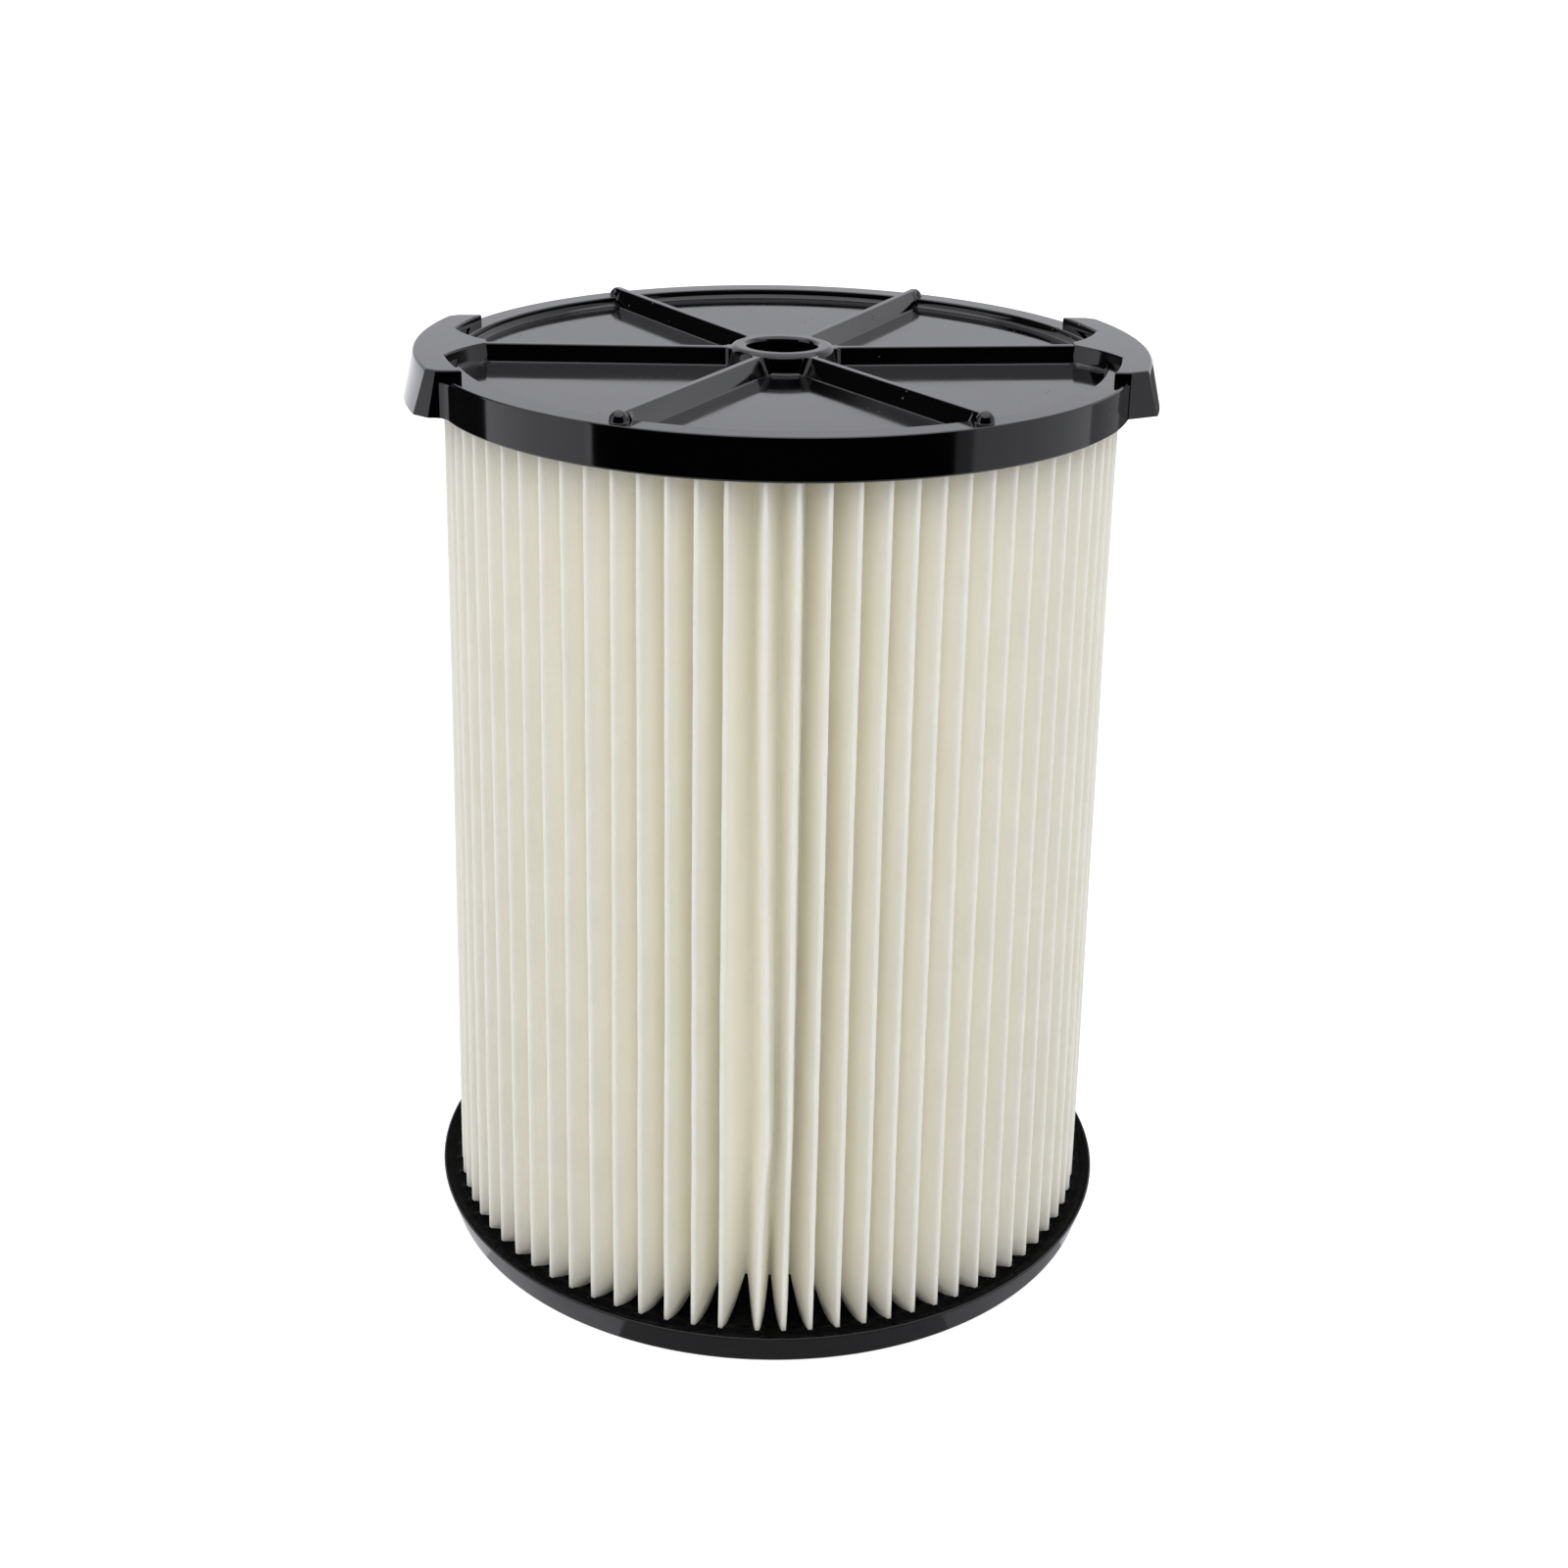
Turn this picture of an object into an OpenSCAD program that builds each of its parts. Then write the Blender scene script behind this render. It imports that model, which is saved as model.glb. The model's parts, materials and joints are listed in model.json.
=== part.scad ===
// Cartridge filter for a wet and dry vacuum cleaner.
// A pack of folded paper stands round an open cage, between a ribbed cap and a cast foot ring.
// The origin is the centre of the foot ring's underside, and +Z runs up to the cap.

/* [Overall] */
// Height from the foot to the top of the cap's rim
filter_h = 212.5; // [170:0.5:280]
// Diameter over the outer folds of the paper
pack_d = 153.4; // [140:0.2:190]

/* [Paper pack] */
// Number of pleats
pleat_count = 78; // [60:1:94]
// Depth of a pleat, from its outer fold to its inner fold
pleat_depth = 18.4; // [12:0.2:22]
// Thickness of the paper
paper_t = 0.6; // [0.4:0.05:0.8]
// Half the width of a fold's blunt nose
fold_half_w = 0.9; // [0.8:0.05:1.2]

/* [Inner cage] */
// Wall thickness of the cage
cage_t = 1.4; // [1:0.1:3]
// Windows round the cage
window_count = 20; // [8:2:28]
// Rows of windows up the cage
window_rows = 12; // [4:1:16]
// Width of the upright bars between windows
bar_w = 2.6; // [1.6:0.1:5]
// Height of the hoops between rows of windows
hoop_h = 2.4; // [1.6:0.1:5]
// Height of the plain band at each end of the cage
cage_band = 10; // [8:0.5:20]

/* [Foot ring] */
// Height of the foot ring
foot_h = 7.4; // [5.5:0.1:12]
// How far the ring's upper edge stands out past the pleats
foot_overhang = 6; // [3:0.1:12]
// How much the ring's outer wall draws in towards the floor
foot_draft = 2.4; // [0:0.1:3]
// Depth to which the paper and the cage are set in the ring
foot_bed = 4; // [2:0.1:4.5]
// Width of the ring inside the cage
foot_lip = 2.2; // [1.5:0.1:4]
// Lead-in chamfer at the mouth
foot_lead = 1.2; // [0.4:0.1:1.4]

/* [Cap] */
// Wall thickness of the cap
cap_wall = 2; // [1.4:0.1:2.4]
// Height of the skirt round the pleats
skirt_h = 9.2; // [8:0.1:16]
// Width of the raised rim
rim_w = 6.1; // [4.5:0.1:8]
// Height of the rim above the disc
rim_rise = 2.2; // [1:0.1:4]
// How much lower the disc lies at the hub than at the rim
disc_dish = 0.7; // [0:0.1:1.5]
// Depth of the adhesive below the disc
adhesive_depth = 4; // [2:0.1:4.6]
// Wall of the spigot that centres the cage
spigot_t = 1.6; // [1:0.1:3]
// Length of the spigot below the disc
spigot_h = 6; // [3:0.1:9]

/* [Hub and ribs] */
// Diameter of the hole through the hub
hub_bore_d = 16; // [8:0.1:20]
// Wall of the hub at its top
hub_wall = 3.6; // [2:0.1:6]
// How much wider the hub is at its root
hub_spread = 1.6; // [0.5:0.1:4]
// Height of the hub above the disc
hub_h = 4.5; // [3:0.1:9]
// Length of the hub below the disc
boss_h = 4; // [1:0.1:12]
// Number of ribs
rib_count = 6; // [2:2:12]
// Height of a rib above the disc
rib_h = 4; // [2.4:0.1:4.2]
// Width of a rib at its top
rib_top_w = 2.2; // [1.6:0.1:4]
// Width of a rib at its root
rib_root_w = 3.4; // [2:0.1:6]
// Diameter of the domed peg at a rib's end
peg_d = 4.6; // [3.8:0.1:6]
// Height of a peg above the rim
peg_h = 2.3; // [1.5:0.1:4]

/* [Side grips] */
// Length of a grip along its chord
grip_l = 60; // [30:1:80]
// Height of a grip's plate above the rim
grip_rise = 2; // [1:0.1:4]
// How far a grip's upper edge stands out past the rim
grip_out = 3.2; // [3:0.1:8]
// How much further out the grip's lower edge stands
grip_flare = 4; // [0:0.1:8]
// How far a grip's plate reaches in over the rim
grip_lap = 3; // [1:0.1:4]
// Radius of a grip's outer corners
grip_corner_r = 2.5; // [1:0.1:4]
// Radius of the hollow blend from a grip into the skirt
grip_blend_r = 4.5; // [2:0.1:8]
// Half the width of the gusset where it meets the grip
gusset_half_w = 12.8; // [6:0.1:20]
// Length of the gusset along its rib
gusset_l = 8; // [4:0.1:14]

/* [Fits] */
// Gap between the skirt and the outer folds
skirt_gap = 0.3; // [0.2:0.05:1]
// Gap between the cage and the inner folds
cage_gap = 0.2; // [0.15:0.05:1]
// Gap between the spigot and the cage
spigot_gap = 0.2; // [0.1:0.05:1]
// Gap between the top of the paper and the cap
paper_end_gap = 0.5; // [0.2:0.1:2]

/* [Hidden] */

// Steps round a full circle
$fn = 96;
// Overrun of a cutting shape past the face that it opens
over = 1;

pack_r = pack_d / 2;
fold_in_r = pack_r - pleat_depth;
pitch_a = 360 / pleat_count;

cage_r = fold_in_r - cage_gap;
cage_bore_r = cage_r - cage_t;
spigot_r = cage_bore_r - spigot_gap;
foot_bore_r = cage_bore_r - foot_lip;

skirt_bore_r = pack_r + skirt_gap;
cap_r = skirt_bore_r + cap_wall;
rim_in_r = cap_r - rim_w;
step_r = rim_in_r + cap_wall;
disc_z = filter_h - rim_rise;
roof_z = disc_z - cap_wall;
skirt_z = filter_h - skirt_h;
hub_disc_z = disc_z - disc_dish;
hub_bore_r = hub_bore_d / 2;
hub_top_r = hub_bore_r + hub_wall;
hub_root_r = hub_top_r + hub_spread;
hub_top_z = hub_disc_z + hub_h;

bed_z = foot_h - foot_bed;
paper_top_z = roof_z - paper_end_gap;
adhesive_z = roof_z - adhesive_depth;
grip_top_z = filter_h + grip_rise;

// Points of an arc about a centre, from one angle to another
function arc(centre, r, from, to, steps = 6) =
    [for (i = [0:steps]) let (a = from + (to - from) * i / steps) centre + r * [cos(a), sin(a)]];

// A point at a radius, and at an angle moved by an arc length
function at(r, a, shift = 0) = let (b = a + shift / r * 180 / PI) r * [cos(b), sin(b)];

// Outer face of the folded sheet: a blunt nose at each outer fold, a narrow flat in each valley
function outer_face() = [for (i = [0:pleat_count - 1]) let (a = i * pitch_a, v = a + pitch_a / 2)
    each [
        at(pack_r - paper_t / 2, a, -fold_half_w),
        at(pack_r, a),
        at(pack_r - paper_t / 2, a, fold_half_w),
        at(fold_in_r + paper_t, v, -(fold_half_w - paper_t)),
        at(fold_in_r + paper_t, v, fold_half_w - paper_t)
    ]];

// Inner face of the folded sheet, one paper thickness behind the outer face
function inner_face() = [for (i = [0:pleat_count - 1]) let (a = i * pitch_a, v = a + pitch_a / 2)
    each [
        at(pack_r - paper_t, a, -(fold_half_w - paper_t)),
        at(pack_r - paper_t, a, fold_half_w - paper_t),
        at(fold_in_r + paper_t / 2, v, -fold_half_w),
        at(fold_in_r, v),
        at(fold_in_r + paper_t / 2, v, fold_half_w)
    ]];

// One sheet of paper, folded to and fro into a closed ring of pleats
module pleated_paper() {
    color("ivory")
    translate([0, 0, bed_z])
    linear_extrude(paper_top_z - bed_z)
    difference() {
        polygon(outer_face());
        polygon(inner_face());
    }
}

// Moulded cage that keeps the folds from drawing inwards
module inner_cage() {
    cage_l = roof_z - bed_z;
    row_h = (cage_l - 2 * cage_band + hoop_h) / window_rows;
    window_w = PI * (cage_r + cage_bore_r) / window_count - bar_w;
    color("dimgray")
    translate([0, 0, bed_z])
    difference() {
        cylinder(h = cage_l, r = cage_r);
        translate([0, 0, -over]) cylinder(h = cage_l + 2 * over, r = cage_bore_r);
        for (row = [0:window_rows - 1], i = [0:window_count / 2 - 1])
            rotate([0, 0, i * 360 / window_count])
            translate([-cage_r - over, -window_w / 2, cage_band + row * row_h])
            cube([2 * (cage_r + over), window_w, row_h - hoop_h]);
    }
}

// Soft ring cast round the lower ends of the paper and the cage
module foot_ring() {
    top_r = pack_r + foot_overhang;
    color([0.16, 0.16, 0.17])
    difference() {
        rotate_extrude()
        polygon([
            [foot_bore_r + foot_lead, 0],
            [top_r - foot_draft, 0],
            [top_r, foot_h],
            [foot_bore_r, foot_h],
            [foot_bore_r, foot_lead]
        ]);
        difference() {
            translate([0, 0, bed_z]) cylinder(h = foot_bed + over, r = cage_r);
            cylinder(h = foot_h + 2 * over, r = cage_bore_r);
        }
        pleated_paper();
    }
}

// Adhesive bed that fixes the upper ends of the paper in the cap
module cap_adhesive() {
    color([0.1, 0.1, 0.11])
    difference() {
        rotate_extrude()
        polygon([
            [cage_r, adhesive_z],
            [skirt_bore_r, adhesive_z],
            [skirt_bore_r, filter_h - cap_wall],
            [step_r, filter_h - cap_wall],
            [step_r, roof_z],
            [cage_r, roof_z]
        ]);
        pleated_paper();
    }
}

// Disc, rim, skirt, spigot and hub, turned about the axis
module cap_shell() {
    spigot_z = roof_z - spigot_h;
    edge_r = 0.6;
    spigot_in_r = spigot_r - spigot_t;
    inner_roof_z = roof_z - disc_dish;
    rotate_extrude()
    polygon(concat(
        [
            [hub_bore_r, inner_roof_z - boss_h],
            [hub_bore_r, hub_top_z - edge_r]
        ],
        arc([hub_bore_r + edge_r, hub_top_z - edge_r], edge_r, 180, 90, 3),
        arc([hub_top_r - edge_r, hub_top_z - edge_r], edge_r, 90, 20, 3),
        [
            [hub_root_r, hub_disc_z],
            [rim_in_r - 0.2, disc_z],
            [rim_in_r, filter_h - edge_r / 2],
            [rim_in_r + edge_r / 2, filter_h]
        ],
        arc([cap_r - edge_r, filter_h - edge_r], edge_r, 90, 0, 3),
        [
            [cap_r, skirt_z],
            [skirt_bore_r, skirt_z],
            [skirt_bore_r, filter_h - cap_wall],
            [step_r, filter_h - cap_wall],
            [step_r, roof_z],
            [spigot_r, roof_z],
            [spigot_r, spigot_z],
            [spigot_in_r, spigot_z],
            [spigot_in_r, roof_z],
            [hub_top_r, inner_roof_z],
            [hub_top_r, inner_roof_z - boss_h]
        ]
    ));
}

// One rib along +X, with drafted sides and eased edges, laid on the slope of the disc
module rib() {
    sunk = cap_wall / 2;
    slope = atan(disc_dish / (rim_in_r - hub_root_r));
    reach = rim_in_r + peg_d / 2 - hub_top_r + hub_wall / 2;
    ease = 0.4;
    draft = (rib_root_w - rib_top_w) / 2 / rib_h;
    sunk_w = rib_root_w + 2 * draft * sunk;
    translate([hub_top_r - hub_wall / 2, 0, hub_disc_z])
    rotate([0, -slope, 0])
    rotate([90, 0, 90])
    linear_extrude(reach)
    polygon([
        [-sunk_w / 2, -sunk],
        [sunk_w / 2, -sunk],
        [rib_top_w / 2, rib_h - ease],
        [rib_top_w / 2 - ease, rib_h],
        [-rib_top_w / 2 + ease, rib_h],
        [-rib_top_w / 2, rib_h - ease]
    ]);
}

// Space under the rim, which the roots of the ribs and gussets stay out of
module under_rim() {
    low_z = roof_z - over;
    difference() {
        translate([0, 0, low_z]) cylinder(h = filter_h - cap_wall / 2 - low_z, r = cap_r);
        translate([0, 0, low_z - over]) cylinder(h = filter_h - low_z + over, r = rim_in_r + cap_wall / 2);
    }
}

// Domed peg that closes the end of a rib on the rim
module peg() {
    peg_r = peg_d / 2;
    dome_r = peg_r * 1.25;
    translate([rim_in_r + peg_r, 0, filter_h - cap_wall / 2])
    intersection() {
        cylinder(h = cap_wall / 2 + peg_h, r = peg_r);
        translate([0, 0, cap_wall / 2 + peg_h - dome_r]) sphere(r = dome_r);
    }
}

// Outline of a grip's rounded corner, cut away from its square corner
module corner_waste(wall_a) {
    far = 4 * grip_corner_r;
    difference() {
        polygon([[0, 0], far * [cos(wall_a), sin(wall_a)], [far, far], [0, far]]);
        circle(r = grip_corner_r);
    }
}

// Hollow shell of one grip on +X, flared outwards and open below
module grip_shell() {
    h = grip_top_z - skirt_z;
    half_l = grip_l / 2;
    top_r = cap_r + grip_out;
    low_r = top_r + grip_flare;
    in_y = half_l - grip_corner_r;
    top_x = sqrt(pow(top_r - grip_corner_r, 2) - pow(in_y, 2));
    low_x = sqrt(pow(low_r - grip_corner_r, 2) - pow(in_y, 2));
    lean = atan((low_x - top_x) / h);
    wall_a = asin(in_y / (top_r - grip_corner_r));
    difference() {
        intersection() {
            translate([0, 0, skirt_z]) cylinder(h = h, r1 = low_r, r2 = top_r);
            translate([0, -half_l, skirt_z]) cube([low_r, grip_l, h]);
        }
        // inside of the cap, below and above the rim
        translate([0, 0, skirt_z - over])
            cylinder(h = skirt_h - cap_wall / 2 + over, r = cap_r - cap_wall / 2);
        translate([0, 0, skirt_z]) cylinder(h = h + over, r = cap_r - grip_lap);
        // hollow between the skirt and the grip's outer wall
        difference() {
            intersection() {
                translate([0, 0, skirt_z - over])
                    cylinder(
                        h = skirt_h + over,
                        r1 = low_r - cap_wall + over * grip_flare / h,
                        r2 = top_r - cap_wall + grip_rise * grip_flare / h
                    );
                translate([0, -half_l + cap_wall, skirt_z - over])
                    cube([low_r, grip_l - 2 * cap_wall, skirt_h + over]);
            }
            translate([0, 0, skirt_z - 2 * over]) cylinder(h = h + 2 * over, r = cap_r);
        }
        // rounded corners, which lean with the outer wall
        for (side = [0, 1]) mirror([0, side, 0])
            translate([top_x, in_y, grip_top_z])
            rotate([0, -lean, 0])
            translate([0, 0, -2 * h])
            linear_extrude(3 * h)
            corner_waste(wall_a);
    }
}

// Gusset that spreads a side rib into the plate of a grip
module gusset() {
    edge_x = sqrt(pow(cap_r - grip_lap, 2) - pow(gusset_half_w, 2));
    root_x = edge_x - gusset_l;
    translate([0, 0, disc_z - cap_wall / 2])
    linear_extrude(grip_top_z - disc_z + cap_wall / 2)
    polygon([
        [root_x, -rib_top_w / 2],
        [edge_x, -gusset_half_w],
        [cap_r - grip_lap + over, -gusset_half_w],
        [cap_r - grip_lap + over, gusset_half_w],
        [edge_x, gusset_half_w],
        [root_x, rib_top_w / 2]
    ]);
}

// Hollow blends where the ends of a grip run into the skirt
module grip_blends() {
    half_l = grip_l / 2;
    centre_y = half_l + grip_blend_r;
    centre_x = sqrt(pow(cap_r + grip_blend_r, 2) - pow(centre_y, 2));
    centre = [centre_x, centre_y];
    meet_x = sqrt(pow(cap_r, 2) - pow(half_l, 2));
    sunk = cap_wall / 4;
    for (side = [0, 1]) mirror([0, side, 0])
        translate([0, 0, skirt_z])
        linear_extrude(skirt_h)
        difference() {
            polygon([
                [meet_x - sunk, half_l - sunk],
                [centre_x, half_l - sunk],
                centre,
                centre * cap_r / (cap_r + grip_blend_r)
            ]);
            translate(centre) circle(r = grip_blend_r);
        }
}

// Moulded cap: a dished disc with a raised rim, a skirt, six ribs, a hub and two side grips
module top_cap() {
    rib_a = 360 / rib_count;
    color([0.11, 0.11, 0.13])
    difference() {
        union() {
            cap_shell();
            difference() {
                union() {
                    for (i = [0:rib_count - 1]) rotate([0, 0, i * rib_a]) rib();
                    for (side = [0, 1]) mirror([side, 0, 0]) gusset();
                }
                under_rim();
            }
            for (i = [0:rib_count - 1])
                if (i % (rib_count / 2) != 0) rotate([0, 0, i * rib_a]) peg();
            for (side = [0, 1]) mirror([side, 0, 0]) {
                grip_shell();
                grip_blends();
            }
        }
        translate([0, 0, roof_z - disc_dish - boss_h - over])
            cylinder(h = hub_h + cap_wall + boss_h + 2 * over, r = hub_bore_r);
    }
}

top_cap();
cap_adhesive();
pleated_paper();
inner_cage();
foot_ring();
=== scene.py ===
import json
import math

import bmesh
import bpy
from mathutils import Matrix, Vector, noise
from mathutils.geometry import interpolate_bezier


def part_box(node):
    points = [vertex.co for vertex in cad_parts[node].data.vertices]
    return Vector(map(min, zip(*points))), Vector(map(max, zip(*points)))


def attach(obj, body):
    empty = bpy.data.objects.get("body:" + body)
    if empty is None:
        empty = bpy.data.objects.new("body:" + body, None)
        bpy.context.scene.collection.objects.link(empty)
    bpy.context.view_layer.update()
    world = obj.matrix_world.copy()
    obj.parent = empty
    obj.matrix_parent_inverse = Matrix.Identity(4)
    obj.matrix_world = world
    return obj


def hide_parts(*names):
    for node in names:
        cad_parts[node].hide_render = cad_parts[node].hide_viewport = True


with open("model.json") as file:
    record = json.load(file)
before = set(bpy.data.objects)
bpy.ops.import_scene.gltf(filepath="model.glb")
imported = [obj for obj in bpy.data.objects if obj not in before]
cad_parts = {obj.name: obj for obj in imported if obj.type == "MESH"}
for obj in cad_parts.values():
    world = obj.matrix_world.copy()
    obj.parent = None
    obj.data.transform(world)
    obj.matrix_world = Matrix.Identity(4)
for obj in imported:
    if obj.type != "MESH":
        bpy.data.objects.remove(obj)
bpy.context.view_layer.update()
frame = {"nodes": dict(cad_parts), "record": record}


# Inner cage
# A moulded tube of matte black plastic with rows of windows. The inner folds of the paper stand
# round it, and it keeps the suction from drawing them inwards. Its foot is cast into the ring.
def add_node(tree, kind, feeds=None, **settings):
    """Adds a node. Each entry of feeds goes to an input: a socket is linked, a value is set."""
    made = tree.nodes.new(kind)
    for name, value in settings.items():
        setattr(made, name, value)
    for name, value in (feeds or {}).items():
        if isinstance(value, bpy.types.NodeSocket):
            tree.links.new(value, made.inputs[name])
        else:
            made.inputs[name].default_value = value
    return made


def new_group(name, inputs, outputs):
    """Starts a node group with the given float or vector sockets."""
    group = bpy.data.node_groups.new(name, "ShaderNodeTree")
    for label, kind in inputs:
        group.interface.new_socket(label, in_out="INPUT", socket_type=kind)
    for label, kind in outputs:
        group.interface.new_socket(label, in_out="OUTPUT", socket_type=kind)
    return group, group.nodes.new("NodeGroupInput"), group.nodes.new("NodeGroupOutput")


def new_finish(name, **values):
    """Starts a material and sets the shader's constants."""
    material = bpy.data.materials.new(name)
    material.use_nodes = True
    shader = material.node_tree.nodes["Principled BSDF"]
    for label, value in values.items():
        shader.inputs[label.replace("_", " ")].default_value = value
    place = material.node_tree.nodes.new("ShaderNodeTexCoord").outputs["Object"]
    return material, material.node_tree, shader, place


# Cooling marks of any plastic or cast skin: slow waves, fine grain and a few small pits.
skin, skin_in, skin_out = new_group(
    "cooled skin",
    [("Place", "NodeSocketVector"), ("Grain scale", "NodeSocketFloat")],
    [("Wave", "NodeSocketFloat"), ("Grain", "NodeSocketFloat"), ("Pit", "NodeSocketFloat")],
)
skin_place = skin_in.outputs["Place"]
skin_wave = add_node(skin, "ShaderNodeTexNoise", {"Vector": skin_place, "Scale": 55.0, "Detail": 2.0})
skin_grain = add_node(
    skin,
    "ShaderNodeTexNoise",
    {"Vector": skin_place, "Scale": skin_in.outputs["Grain scale"], "Detail": 3.0, "Roughness": 0.6},
)
skin_cells = add_node(skin, "ShaderNodeTexVoronoi", {"Vector": skin_place, "Scale": 330.0})
skin_dots = add_node(
    skin,
    "ShaderNodeMapRange",
    {"Value": skin_cells.outputs["Distance"], "From Min": 0.05, "From Max": 0.11, "To Min": 1.0, "To Max": 0.0},
)
skin_patches = add_node(skin, "ShaderNodeTexNoise", {"Vector": skin_place, "Scale": 38.0, "Detail": 1.0})
skin_where = add_node(
    skin,
    "ShaderNodeMapRange",
    {"Value": skin_patches.outputs["Fac"], "From Min": 0.56, "From Max": 0.64},
)
skin_pits = add_node(
    skin,
    "ShaderNodeMath",
    {0: skin_dots.outputs["Result"], 1: skin_where.outputs["Result"]},
    operation="MULTIPLY",
)
skin.links.new(skin_wave.outputs["Fac"], skin_out.inputs["Wave"])
skin.links.new(skin_grain.outputs["Fac"], skin_out.inputs["Grain"])
skin.links.new(skin_pits.outputs["Value"], skin_out.inputs["Pit"])


def add_skin(tree, place, grain_scale):
    """Puts the cooled skin into a material and returns its outputs."""
    made = add_node(tree, "ShaderNodeGroup", node_tree=skin)
    tree.links.new(place, made.inputs["Place"])
    made.inputs["Grain scale"].default_value = grain_scale
    return made.outputs


def shade(tree, amount, dark, light):
    """Colour that runs from dark to light with a mask."""
    mix = add_node(tree, "ShaderNodeMix", {"Factor": amount}, data_type="RGBA")
    for label, colour in (("A", dark), ("B", light)):
        if isinstance(colour, bpy.types.NodeSocket):
            tree.links.new(colour, mix.inputs[label])
        else:
            mix.inputs[label].default_value = (*colour, 1)
    return next(socket for socket in mix.outputs if socket.type == "RGBA")


def spread(tree, amount, low, high, start=0.3, end=0.7):
    """Number that runs from low to high as a mask goes from start to end."""
    made = add_node(
        tree,
        "ShaderNodeMapRange",
        {"Value": amount, "From Min": start, "From Max": end, "To Min": low, "To Max": high},
    )
    return made.outputs["Result"]


def emboss(tree, shader, height, depth_mm):
    """Feeds a height mask to the shader's normal, raised by a depth in millimetres."""
    bump = add_node(tree, "ShaderNodeBump", {"Height": height, "Distance": depth_mm / 1000})
    tree.links.new(bump.outputs["Normal"], shader.inputs["Normal"])


cage_black, tree, shader, place = new_finish("cage black", Specular_IOR_Level=0.4)
marks = add_skin(tree, place, 700.0)
tree.links.new(shade(tree, marks["Wave"], (0.010, 0.010, 0.011), (0.020, 0.020, 0.022)), shader.inputs["Base Color"])
tree.links.new(spread(tree, marks["Grain"], 0.42, 0.62), shader.inputs["Roughness"])
emboss(tree, shader, marks["Grain"], 0.06)
cage = frame["nodes"]["inner_cage"]
cage.data.materials.clear()
cage.data.materials.append(cage_black)


# Pleated paper
# One sheet of cream filter paper, folded to and fro and closed to a ring of pleats. Its folds
# stand a little unevenly, as hand-gathered pleats do, and both ends are set in cast compound.
mm = 0.001
paper_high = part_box("pleated_paper")[1] / mm
paper_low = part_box("pleated_paper")[0] / mm
cage_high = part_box("inner_cage")[1] / mm
pleats = 78
paper_t = 0.5
nose_r = paper_high.x - paper_t / 2
valley_r = cage_high.x + 0.2 + paper_t / 2
pitch = 2 * math.pi / pleats
paper_rows = 50

# The pack is loosely filled in front: one wide gap, then pleats that crowd to the right of it.
gap_fold = 57
calm_fold = 70
crowding = 0.36
lean = 0.11
# Lean of the fold beside the gap, as (height in mm, share of a pitch): it kinks near the foot.
kink = ((0, 0.06), (25, 0.14), (40, 0.2), (52, 0.33), (78, 0.23), (144, 0.02), (201, -0.14))
# The pack swells towards the foot, as (height, change of radius) in millimetres.
swell = ((6, 1.5), (40, 1.2), (89, 0.55), (138, 0.1), (162, -0.1), (200, -0.3))


def along(points, at):
    """Value at a place, on straight lines between (place, value) pairs."""
    for (start, low), (end, high) in zip(points, points[1:]):
        if at <= end:
            return low + (high - low) * max(0, at - start) / (end - start)
    return points[-1][1]


def fold_angle(fold, height):
    """Angle of an outer fold at a height, with its share of crowding, kink and sway."""
    fold %= pleats
    shift = 0.05 * noise.noise(Vector((fold * 5.7, height / 90, 1)))
    shift += 0.012 * noise.noise(Vector((fold * 3.1, height / 9, 2)))
    if gap_fold <= fold < calm_fold:
        shift += crowding * min(1, (calm_fold - fold) / 9)
        shift += along(kink, height) * 0.26 ** (fold - gap_fold)
    if fold < gap_fold:
        shift += lean * max(0, 1 - height / 170) * max(0, 1 - (gap_fold - fold) / 18)
    return (fold + shift) * pitch


def valley_angle(fold, height):
    """Angle of the inner fold that follows an outer fold."""
    before = fold_angle(fold, height)
    after = fold_angle(fold + 1, height)
    while after < before:
        after += 2 * math.pi
    return (before + after) / 2


def make_piece(name, bm, material, *nodes, slot, sharp=40):
    """Turns millimetre geometry into a finished piece that stands for CAD nodes."""
    bmesh.ops.transform(bm, matrix=Matrix.Scale(mm, 4), verts=bm.verts)
    mesh = bpy.data.meshes.new(name)
    bm.to_mesh(mesh)
    bm.free()
    mesh.polygons.foreach_set("use_smooth", [True] * len(mesh.polygons))
    mesh.set_sharp_from_angle(angle=math.radians(sharp))
    mesh.materials.append(material)
    piece = bpy.data.objects.new(name, mesh)
    bpy.context.scene.collection.objects.link(piece)
    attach(piece, "root")
    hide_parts(*nodes)
    return piece


sheet = bmesh.new()
half = pitch / 2
fold_line = []
# Half of one pleat in plan, as (radius, half width), from its nose to the valley beside it.
# The third and fourth points keep the flat sides apart from the round of the fold.
pleat_half = (
    (nose_r, 0),
    (nose_r - 0.12, 0.2),
    (nose_r - 0.5, 0.3),
    (nose_r - 1.0, 0.36),
    (67.5, 1.28),
    (valley_r + 0.4, 1.88),
)
for side in (-1, 1):
    line = [(r, side * w / r) for r, w in pleat_half[1:]] + [(valley_r, side * half)]
    fold_line = line[::-1] + [(nose_r, 0)] if side < 0 else fold_line + line
line_verts = [
    sheet.verts.new((r * math.cos(a), r * math.sin(a), paper_low.z)) for r, a in fold_line
]
line_edges = [sheet.edges.new(pair) for pair in zip(line_verts, line_verts[1:])]
raised = bmesh.ops.extrude_edge_only(sheet, edges=line_edges)["geom"]
raised_verts = [part for part in raised if isinstance(part, bmesh.types.BMVert)]
bmesh.ops.translate(sheet, vec=(0, 0, paper_high.z - paper_low.z), verts=raised_verts)
uprights = [edge for edge in sheet.edges if abs(edge.verts[0].co.z - edge.verts[1].co.z) > 1]
bmesh.ops.subdivide_edges(sheet, edges=uprights, cuts=paper_rows - 1, use_grid_fill=True)
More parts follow.
